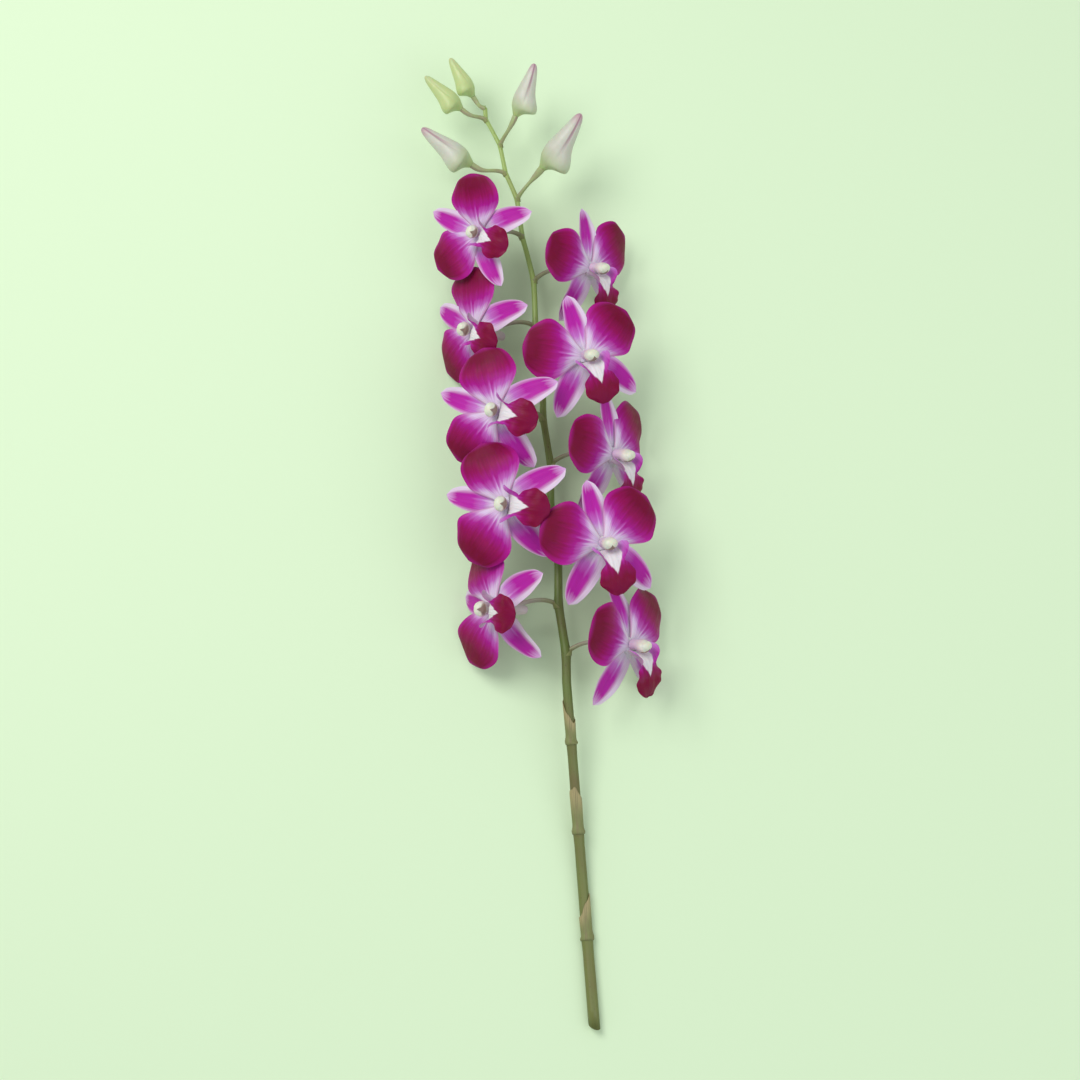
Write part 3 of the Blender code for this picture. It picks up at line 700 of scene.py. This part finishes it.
def axis_shell():
    """The stem's rod: its middle line zigzags from joint to joint, its radius swells in a bell at each joint,
    and its first rings lie on the slanted cut."""
    joints = np.array([joint_y(i) for i in range(FLOWER_COUNT + BUD_COUNT)])
    sides = np.array([ZIGZAG if i % 2 == 0 else -ZIGZAG for i in range(len(joints))])
    lower_y = np.linspace(CUT_Y, ZIGZAG_FROM_Y, 90)
    y = np.concatenate([lower_y, np.linspace(ZIGZAG_FROM_Y + 0.001, TIP_Y, 330)])
    known = np.concatenate([[CUT_Y - 1, ZIGZAG_FROM_Y], joints])
    aside = np.interp(y, known, np.concatenate([[0, 0], sides]))
    _, right, _ = frame_at(y)
    path = route(y) + right * aside[:, None]
    bells = sum(bump(y, joint, 0.0032) for joint in joints)
    bells = bells + 0.8 * sum(bump(y, joint, 0.004) for joint in SHEATH_Y)
    radii = stem_radius(y) * (1.02 + (JOINT_SWELL - 1) * bells)
    turn = ring(AXIS_AROUND)
    ribs = 1 + 0.012 * np.cos(11 * turn) + 0.010 * np.cos(17 * turn + 1.0)
    shell = tube(path, radii[:, None] * ribs, AXIS_AROUND, UP, y)
    shell.points[0] = on_cut(shell.points[0])
    shrink = np.array((0.0, 0.25, 0.5, 0.72, 0.88, 0.97))[:, None, None]
    middle = shell.points[:1].mean(axis=1, keepdims=True)
    face = middle + (shell.points[:1] - middle) * shrink
    face_place = np.repeat(shell.place[:1], len(shrink), axis=0)
    face_place[..., 0] = -1.0 + shrink[..., 0]
    keep = np.ones(len(shell.points), bool)
    keep[1:4] = False
    points = np.concatenate([face[1:], shell.points[keep]])
    place = np.concatenate([face_place[1:], shell.place[keep]])
    round_tip = points[-1:].mean(axis=1, keepdims=True)
    along, _, _ = frame_at(TIP_Y)
    ball = [round_tip + (points[-1:] - round_tip) * w + along * (TIP_RADIUS * h) for w, h in TIP_ROUNDING]
    points = np.concatenate([points, *ball])
    place = np.concatenate([place, *[place[-1:]] * len(TIP_ROUNDING)])
    return Shell(points, place)


def on_cut(points):
    """Points slid along the stem onto the plane of its slanted cut."""
    along, _, _ = frame_at(CUT_Y)
    square = np.array((0.25, math.cos(CUT_SLANT), math.sin(CUT_SLANT)))
    distance = (points - route(CUT_Y)) @ square / (along @ square)
    return points - along * distance[:, None]


# Materials


def colour(red, green, blue):
    """A colour given as 0 to 255 on a screen, as the linear values that a shader takes."""
    share = np.array((red, green, blue)) / 255
    linear = np.where(share <= 0.04045, share / 12.92, ((share + 0.055) / 1.055) ** 2.4)
    return (*[float(value) for value in linear], 1.0)


class Recipe:
    """A material whose nodes are added one by one and set or linked by their inputs."""

    def __init__(self, name, roughness, **constants):
        self.material = bpy.data.materials.new(name)
        self.material.use_nodes = True
        self.tree = self.material.node_tree
        self.shader = self.tree.nodes["Principled BSDF"]
        self.shader.inputs["Roughness"].default_value = roughness
        for socket, value in constants.items():
            self.shader.inputs[socket.replace("_", " ")].default_value = value

    def node(self, kind, inputs, **settings):
        made = self.tree.nodes.new(kind)
        for key, value in settings.items():
            setattr(made, key, value)
        for key, value in inputs.items():
            if isinstance(value, bpy.types.NodeSocket):
                self.tree.links.new(value, made.inputs[key])
            else:
                made.inputs[key].default_value = value
        return made

    def place(self):
        """The surface's own coordinates: along, across and side."""
        read = self.node("ShaderNodeAttribute", {}, attribute_name="place")
        return self.node("ShaderNodeSeparateXYZ", {0: read.outputs["Vector"]}).outputs

    def object_point(self):
        return self.node("ShaderNodeTexCoord", {}).outputs["Object"]

    def sum(self, operation, first, second=0.0, third=0.0):
        made = self.node("ShaderNodeMath", {0: first, 1: second, 2: third}, operation=operation)
        return made.outputs[0]

    def times(self, first, second):
        return self.sum("MULTIPLY", first, second)

    def between(self, value, low, high):
        """0 below low and 1 above high, smoothly."""
        made = self.node("ShaderNodeMapRange", {0: value, 1: low, 2: high}, interpolation_type="SMOOTHSTEP")
        return made.outputs[0]

    def noise(self, where, scale, detail=3.0, stretch=None):
        if stretch:
            where = self.node("ShaderNodeMapping", {0: where, 3: stretch}).outputs[0]
        made = self.node("ShaderNodeTexNoise", {"Vector": where, "Scale": scale, "Detail": detail})
        return made.outputs[0]

    def streaks(self, place, across_scale, along_scale):
        """Noise drawn out along the surface: fine across and slow along."""
        where = self.node("ShaderNodeCombineXYZ", {0: place[0], 1: place[1], 2: place[2]}).outputs[0]
        return self.noise(where, 1.0, 4.0, (along_scale, across_scale, 0.4))

    def ramp(self, value, stops):
        made = self.node("ShaderNodeValToRGB", {0: value})
        elements = made.color_ramp.elements
        while len(elements) < len(stops):
            elements.new(0.5)
        for element, (position, *shade) in zip(elements, stops):
            element.position = position
            element.color = colour(*shade)
        return made.outputs[0]

    def mix(self, share, first, second):
        made = self.node("ShaderNodeMix", {0: share, 6: first, 7: second}, data_type="RGBA")
        return made.outputs[2]

    def tinted(self, shade, share, strength, tint):
        """The shade with a share of the tint over it, times a strength."""
        return self.mix(self.times(share, strength), shade, colour(*tint))

    def wander(self, streak):
        """How far the streaks move a border between two colours."""
        return self.times(self.sum("SUBTRACT", streak, 0.5), 0.30)

    def paint(self, shade):
        self.tree.links.new(shade, self.shader.inputs["Base Color"])

    def paint_sides(self, place, behind, face):
        """One colour on a blade's front and another on its back, by which side of it the surface is."""
        self.paint(self.mix(self.between(place[2], -0.5, 0.3), behind, face))

    def roughen(self, value, low, high):
        made = self.node("ShaderNodeMapRange", {0: value, 1: 0.3, 2: 0.7, 3: low, 4: high})
        self.tree.links.new(made.outputs[0], self.shader.inputs["Roughness"])

    def raise_by(self, height, strength, distance):
        made = self.node("ShaderNodeBump", {"Height": height, "Strength": strength, "Distance": distance})
        self.tree.links.new(made.outputs[0], self.shader.inputs["Normal"])


# What soft flower parts share: a faint velvet sheen and light that spreads inside them
PETAL_FLESH = {
    "Subsurface_Weight": 0.08,
    "Subsurface_Scale": 0.0010,
    "Specular_IOR_Level": 0.16,
    "Sheen_Weight": 0.01,
    "Sheen_Roughness": 0.5,
}


def veins(recipe, place):
    """Fine lines that fan out from the foot: a wave across the blade, bent and faded by slow noise."""
    slow = recipe.streaks(place, 2.6, 1.8)
    phase = recipe.sum("MULTIPLY_ADD", place[1], 52.0, recipe.times(slow, 24.0))
    wave = recipe.sum("MULTIPLY_ADD", recipe.sum("SINE", phase), 0.5, 0.5)
    faded = recipe.between(recipe.streaks(place, 7.0, 2.4), 0.30, 0.70)
    return recipe.times(wave, faded)


def petal_material():
    """Lilac white at the foot, magenta, then deep crimson, with a paler rim; mauve behind."""
    recipe = Recipe("petal", 0.5, **PETAL_FLESH)
    place = recipe.place()
    streak = recipe.streaks(place, 9.0, 1.5)
    mottle = recipe.noise(recipe.object_point(), 260.0)
    edge = recipe.times(place[1], place[1])
    reach = recipe.sum("MULTIPLY_ADD", edge, -0.12, place[0])
    reach = recipe.sum("MULTIPLY_ADD", recipe.sum("SUBTRACT", streak, 0.5), 0.30, reach)
    face = recipe.ramp(reach, [
        (0.0, 236, 228, 244), (0.18, 226, 202, 240), (0.29, 194, 100, 196), (0.41, 172, 18, 146),
        (0.58, 146, 0, 84), (0.78, 114, 0, 38),
    ])
    rim = recipe.sum("MAXIMUM", recipe.between(edge, 0.55, 1.0), recipe.between(place[0], 0.90, 1.0))
    face = recipe.tinted(face, rim, 0.60, (180, 22, 150))
    vein = veins(recipe, place)
    face = recipe.tinted(face, vein, 0.16, (92, 0, 50))
    face = recipe.tinted(face, mottle, 0.12, (176, 30, 146))
    behind = recipe.ramp(reach, [(0.0, 214, 210, 205), (0.25, 196, 150, 192), (0.6, 150, 62, 134)])
    behind = recipe.tinted(behind, vein, 0.25, (128, 36, 104))
    recipe.paint_sides(place, behind, face)
    recipe.roughen(mottle, 0.42, 0.58)
    recipe.raise_by(recipe.sum("ADD", vein, recipe.times(mottle, 0.8)), 0.25, 0.00012)
    return recipe.material


def sepal_material():
    """White at the foot, a pink magenta band along the middle, whitish margins and tip, with painted light
    that widens the margin on one side; grey mauve behind.
    """
    recipe = Recipe("sepal", 0.5, **PETAL_FLESH)
    place = recipe.place()
    streak = recipe.streaks(place, 5.0, 1.2)
    mottle = recipe.noise(recipe.object_point(), 300.0)
    wander = recipe.wander(streak)
    reach = recipe.sum("ADD", place[0], wander)
    face = recipe.ramp(reach, [
        (0.0, 236, 230, 244), (0.20, 230, 212, 242), (0.34, 204, 120, 212), (0.52, 188, 36, 172),
        (0.82, 182, 32, 164), (1.0, 222, 176, 230),
    ])
    # The whitish margin is the sepal's own colour; shifting it makes it broader on one side, a painted
    # highlight where light falls on the fold.
    lit_side_margin_reach = recipe.sum("ABSOLUTE", recipe.sum("ADD", place[1], 0.20))
    margin = recipe.sum("ADD", lit_side_margin_reach, wander)
    face = recipe.tinted(face, recipe.between(margin, 0.50, 0.95), 0.90, (234, 218, 242))
    vein = veins(recipe, place)
    face = recipe.tinted(face, vein, 0.14, (140, 20, 116))
    behind = recipe.ramp(reach, [(0.0, 206, 212, 190), (0.45, 192, 182, 186), (1.0, 160, 122, 150)])
    keel = recipe.between(recipe.sum("ABSOLUTE", place[1]), 0.55, 0.0)
    behind = recipe.tinted(behind, keel, 0.5, (186, 196, 160))
    behind = recipe.tinted(behind, vein, 0.2, (146, 96, 128))
    recipe.paint_sides(place, behind, face)
    recipe.roughen(mottle, 0.42, 0.56)
    recipe.raise_by(recipe.sum("ADD", vein, mottle), 0.3, 0.0001)
    return recipe.material


def hub_material():
    """Lilac white in front, and a greyer white that turns mauve on the spur."""
    recipe = Recipe("flower base", 0.48, Subsurface_Weight=0.15, Subsurface_Scale=0.002)
    place = recipe.place()
    mottle = recipe.noise(recipe.object_point(), 420.0)
    shade = recipe.ramp(recipe.times(place[0], 0.5), [
        (0.0, 176, 158, 150), (0.25, 196, 190, 178), (0.5, 232, 226, 240), (0.75, 216, 210, 206),
        (1.0, 204, 184, 196),
    ])
    recipe.paint(recipe.tinted(shade, mottle, 0.3, (186, 150, 180)))
    recipe.raise_by(mottle, 0.25, 0.0002)
    return recipe.material


def lip_material():
    """A white throat patch that ends in a point, magenta side lobes and a deep crimson middle lobe."""
    recipe = Recipe("lip", 0.46, **PETAL_FLESH)
    place = recipe.place()
    streak = recipe.streaks(place, 7.0, 2.0)
    mottle = recipe.noise(recipe.object_point(), 300.0)
    wander = recipe.wander(streak)
    lobe = recipe.ramp(recipe.sum("ADD", place[0], wander), [
        (0.0, 226, 190, 236), (0.16, 204, 128, 214), (0.34, 184, 50, 172), (0.50, 150, 0, 98),
        (0.70, 126, 0, 54), (0.95, 124, 0, 62),
    ])
    narrowing = recipe.sum("MULTIPLY_ADD", place[0], -1.45, 0.90)
    jagged = recipe.sum("MULTIPLY_ADD", wander, 0.7, recipe.sum("ABSOLUTE", place[1]))
    patch = recipe.sum("SUBTRACT", recipe.sum("MINIMUM", narrowing, 0.52), jagged)
    white = recipe.between(patch, -0.03, 0.05)
    face = recipe.mix(white, lobe, colour(236, 230, 238))
    vein = veins(recipe, place)
    face = recipe.tinted(face, vein, 0.10, (90, 0, 36))
    behind = recipe.ramp(place[0], [(0.0, 206, 196, 206), (0.5, 178, 96, 166), (1.0, 136, 30, 100)])
    recipe.paint_sides(place, behind, face)
    recipe.roughen(mottle, 0.38, 0.55)
    recipe.raise_by(recipe.sum("ADD", vein, mottle), 0.35, 0.00012)
    return recipe.material


def column_material():
    """Waxy greenish white, with brown painted shade in its hollow and along the lower edge of its cap."""
    recipe = Recipe("column", 0.38, Subsurface_Weight=0.15, Subsurface_Scale=0.0015, Coat_Weight=0.08)
    place = recipe.place()
    mottle = recipe.noise(recipe.object_point(), 600.0)
    shade = recipe.mix(mottle, colour(238, 236, 226), colour(222, 222, 196))
    # Painted shade: brown in the hollow under the column's end and along the lower edge of its cap, where
    # shade falls.
    below = recipe.between(place[2], -0.25, -0.80)
    hollow = recipe.times(recipe.between(place[0], 0.58, 0.72), recipe.between(place[0], 1.4, 1.2))
    slit_shade = recipe.times(recipe.between(place[0], 2.42, 2.60), recipe.between(place[2], -0.80, -0.97))
    brown = recipe.sum("MAXIMUM", recipe.times(below, hollow), slit_shade)
    shade = recipe.tinted(shade, brown, 0.85, (112, 66, 62))
    foot = recipe.between(place[0], 0.75, 0.05)
    recipe.paint(recipe.tinted(shade, foot, 0.7, (206, 160, 212)))
    recipe.raise_by(mottle, 0.2, 0.0001)
    return recipe.material


def bud_material(name, belly, tip, ripe):
    """Pale waxy green, another colour along its belly and at its tip, and mauve seams on a ripe bud."""
    recipe = Recipe(name, 0.42, Subsurface_Weight=0.15, Subsurface_Scale=0.002, Coat_Weight=0.06)
    place = recipe.place()
    mottle = recipe.noise(recipe.object_point(), 330.0)
    shade = recipe.ramp(recipe.sum("MULTIPLY_ADD", place[0], 0.5, 0.5), [
        (0.0, 196, 208, 150), (0.4, 176, 196, 132), (0.62, *belly), (0.88, *belly), (1.0, *tip),
    ])
    turned = recipe.sum("ARCTAN2", place[2], place[1])
    folds = recipe.sum("COSINE", recipe.sum("MULTIPLY_ADD", turned, 3.0, 1.55))
    seam = recipe.times(recipe.between(folds, 0.75, 1.0), recipe.between(place[0], 0.15, 0.7))
    shade = recipe.tinted(shade, seam, 0.75 * ripe, (156, 84, 128))
    shade = recipe.tinted(shade, mottle, 0.25, (162, 184, 118))
    recipe.paint(shade)
    recipe.roughen(mottle, 0.36, 0.5)
    recipe.raise_by(mottle, 0.25, 0.0002)
    return recipe.material


def stalk_material(name, near, far):
    """A stalk that changes colour from the stem to its flower, with fine lines along it."""
    recipe = Recipe(name, 0.45, Subsurface_Weight=0.08, Subsurface_Scale=0.0012)
    place = recipe.place()
    streak = recipe.streaks(place, 2.2, 1.6)
    speck = recipe.noise(recipe.object_point(), 900.0, 2.0)
    shade = recipe.mix(recipe.between(place[0], 0.05, 0.75), near, far)
    shade = recipe.tinted(shade, recipe.between(streak, 0.40, 0.72), 0.6, (158, 112, 124))
    recipe.paint(recipe.tinted(shade, speck, 0.25, (196, 196, 176)))
    recipe.raise_by(streak, 0.3, 0.0002)
    return recipe.material


def axis_material():
    """Green with fine lines and brown purple specks, paler towards the tip, and a pale face at the cut."""
    recipe = Recipe("stem", 0.42, Subsurface_Weight=0.05, Subsurface_Scale=0.0015)
    place = recipe.place()
    point = recipe.object_point()
    lines = recipe.streaks(place, 5.0, 14.0)
    broad = recipe.noise(point, 28.0, 3.0)
    speck = recipe.noise(point, 1500.0, 2.0, (1.0, 0.35, 1.0))
    green = recipe.ramp(recipe.between(place[0], -0.26, 0.17), [
        (0.0, 116, 122, 66), (0.35, 102, 122, 60), (0.7, 124, 150, 76), (1.0, 164, 188, 108),
    ])
    green = recipe.tinted(green, recipe.between(lines, 0.45, 0.80), 0.55, (80, 92, 48))
    green = recipe.tinted(green, recipe.between(broad, 0.48, 0.72), 0.45, (112, 78, 62))
    green = recipe.tinted(green, recipe.between(speck, 0.66, 0.74), 0.6, (84, 48, 46))
    strands = recipe.noise(point, 1600.0, 2.0)
    face = recipe.mix(recipe.between(strands, 0.40, 0.62), colour(188, 190, 138), colour(134, 126, 78))
    skin = recipe.between(place[0], -0.14, -0.03)
    face = recipe.mix(skin, face, colour(96, 108, 52))
    at_face = recipe.between(place[0], -0.27, -0.29)
    recipe.paint(recipe.mix(at_face, green, face))
    recipe.roughen(broad, 0.34, 0.52)
    recipe.raise_by(recipe.sum("ADD", lines, strands), 0.3, 0.00025)
    return recipe.material


def papery_material(name, dry, green):
    """A dry papery scale: straw and grey brown with fine parallel lines, greener at its foot."""
    recipe = Recipe(name, 0.62)
    place = recipe.place()
    streak = recipe.streaks(place, 14.0, 2.0)
    blotch = recipe.noise(recipe.object_point(), 240.0)
    shade = recipe.mix(recipe.between(place[0], 0.35, 0.95), green, dry)
    shade = recipe.mix(recipe.between(streak, 0.42, 0.72), shade, colour(112, 100, 66))
    recipe.paint(recipe.tinted(shade, blotch, 0.3, (180, 174, 138)))
    recipe.roughen(blotch, 0.5, 0.7)
    recipe.raise_by(streak, 0.5, 0.0002)
    return recipe.material


def floor_material():
    recipe = Recipe("pale floor", 0.7)
    soft = recipe.noise(recipe.object_point(), 3.0)
    recipe.paint(recipe.tinted(colour(222, 244, 210), soft, 0.25, (212, 238, 200)))
    return recipe.material


# Pieces


def add_flowers():
    tepal_paints = [petal_material(), sepal_material(), hub_material()]
    lip_paints = [lip_material()]
    column_paints = [column_material()]
    for index, flower in enumerate(FLOWERS):
        name = f"bloom_{index + 1:02d}"
        matrix = flower_matrix(index)
        groups = (
            ("_petals_and_sepals", "_tepals", tepal_shells(index), tepal_paints, "tepals"),
            ("_labellum", "_lip", [lip_shell(LIP_PHASES * vary(index, 3))], lip_paints, "lip"),
            ("_column_and_cap", "_column", column_shells(), column_paints, "column"),
        )
        for piece_name, node, shells, paints, slot in groups:
            for shell in shells:
                shell.points = carried(matrix, shell.points * flower.size)
                if flower.drop is not None:
                    shell.points = resting(shell.points)
            add_piece(name + piece_name, shells, paints, name + node)


def add_buds():
    ripe_paint = bud_material("ripe bud", (208, 206, 200), (190, 140, 170), 1.0)
    green_paint = bud_material("green bud", (198, 212, 150), (196, 206, 158), 0.15)
    for number, bud in enumerate(BUDS):
        name = f"bud_{number + 1:02d}"
        paints = [ripe_paint if number < RIPE_BUDS else green_paint]
        shells = bud_shells(bud.length)
        for shell in shells:
            shell.points = carried(bud_matrix(number), shell.points)
        add_piece(name + "_closed", shells, paints, name)


def add_stem():
    axis = axis_shell()
    axis.points = resting(axis.points)
    add_piece("stem_axis", [axis], [axis_material()], "stem")
    ends = []
    for index, flower in enumerate(FLOWERS):
        side, back, end_radius = (size * flower.size for size in (COLLAR_SIDE, COLLAR_BACK, OVARY_RADIUS))
        ends.append((flower.place, flower_matrix(index), side, back, STALK_RADIUS, end_radius, 0))
    for number, bud in enumerate(BUDS):
        back = BUD_BACK * bud.length
        end_radius = BUD_STALK_END * BUD_GIRTH * bud.length
        ends.append((bud.place, bud_matrix(number), 0.0, back, BUD_STALK_RADIUS, end_radius, 1))
    stalks = [stalk_shell(index, *end) for index, end in enumerate(ends)]
    stalk_paints = [
        stalk_material("flower stalk", colour(128, 138, 88), colour(188, 172, 176)),
        stalk_material("bud stalk", colour(138, 160, 88), colour(160, 178, 116)),
    ]
    add_piece("stem_stalks", stalks, stalk_paints, "stem")
    bracts = [bract_shell(index, holder.place) for index, holder in enumerate(FLOWERS + BUDS[:-1])]
    bract_paint = papery_material("bract", colour(158, 146, 104), colour(134, 148, 82))
    add_piece("stem_bracts", bracts, [bract_paint], "stem")
    sheaths = [sheath_shell(y, 1.9 * i) for i, y in enumerate(SHEATH_Y)]
    for sheath in sheaths:
        sheath.points = resting(sheath.points)
    sheath_paint = papery_material("sheath", colour(172, 158, 112), colour(116, 128, 70))
    add_piece("stem_sheaths", sheaths, [sheath_paint], "stem")


# Stage


CAMERA_ELEVATION = math.radians(78)
CAMERA_DISTANCE = 1.5
FRAME_HEIGHT = 0.515  # how much of the table's length the picture shows
AIM_BACK = 0.008  # how far before the stem's middle the camera aims, which evens the picture's margins
FLOOR_SIDE = 6.0
LIGHTS_AIM = (0.0, 0.02, 0.0)
WORLD_LIGHT = 0.46


def aim(obj, target):
    """Turns an object so that its -Z points at the target, with +Y of the picture towards the tip."""
    direction = target - np.array(obj.location)
    back = -unit(direction)
    right = unit(np.cross(np.array((0.0, 1.0, 0.0)), back))
    upper = np.cross(back, right)
    turn = np.eye(4)
    turn[:3] = stacked(right, upper, back, np.array(obj.location))
    obj.matrix_world = Matrix(turn)


def add_camera():
    low, high = (np.array(corner) for corner in CAD_BOX)
    middle = (low + high) / 2 - np.array((0.0, AIM_BACK, 0.0))
    offset = np.array((0.0, -math.cos(CAMERA_ELEVATION), math.sin(CAMERA_ELEVATION))) * CAMERA_DISTANCE
    data = bpy.data.cameras.new("camera")
    camera = added("camera", data)
    camera.location = middle + offset
    aim(camera, middle)
    data.angle = 2 * math.atan(FRAME_HEIGHT / 2 / CAMERA_DISTANCE)
    data.clip_start = 0.05
    bpy.context.scene.camera = camera


def add_area_light(name, place, size, power, shade):
    data = bpy.data.lights.new(name, "AREA")
    data.shape = "SQUARE"
    data.size = size
    data.energy = power
    data.color = shade
    light = added(name, data)
    light.location = place
    aim(light, np.array(LIGHTS_AIM))


def add_stage():
    mesh = bpy.data.meshes.new("floor")
    half = FLOOR_SIDE / 2
    corners = [(-half, -half, 0), (half, -half, 0), (half, half, 0), (-half, half, 0)]
    mesh.from_pydata(corners, [], [(0, 1, 2, 3)])
    mesh.materials.append(floor_material())
    added("floor", mesh)
    add_area_light("key", (-0.7, 0.5, 1.3), size=0.9, power=13.0, shade=(1.0, 0.98, 0.95))
    add_area_light("fill", (0.9, -0.5, 1.2), size=1.4, power=6.5, shade=(0.95, 0.98, 1.0))
    world = bpy.data.worlds.new("soft room")
    world.use_nodes = True
    background = world.node_tree.nodes["Background"]
    background.inputs["Color"].default_value = (0.95, 1.0, 0.95, 1.0)
    background.inputs["Strength"].default_value = WORLD_LIGHT
    bpy.context.scene.world = world
    bpy.context.scene.view_settings.view_transform = "Standard"


add_camera()
add_stem()
add_flowers()
add_buds()
add_stage()
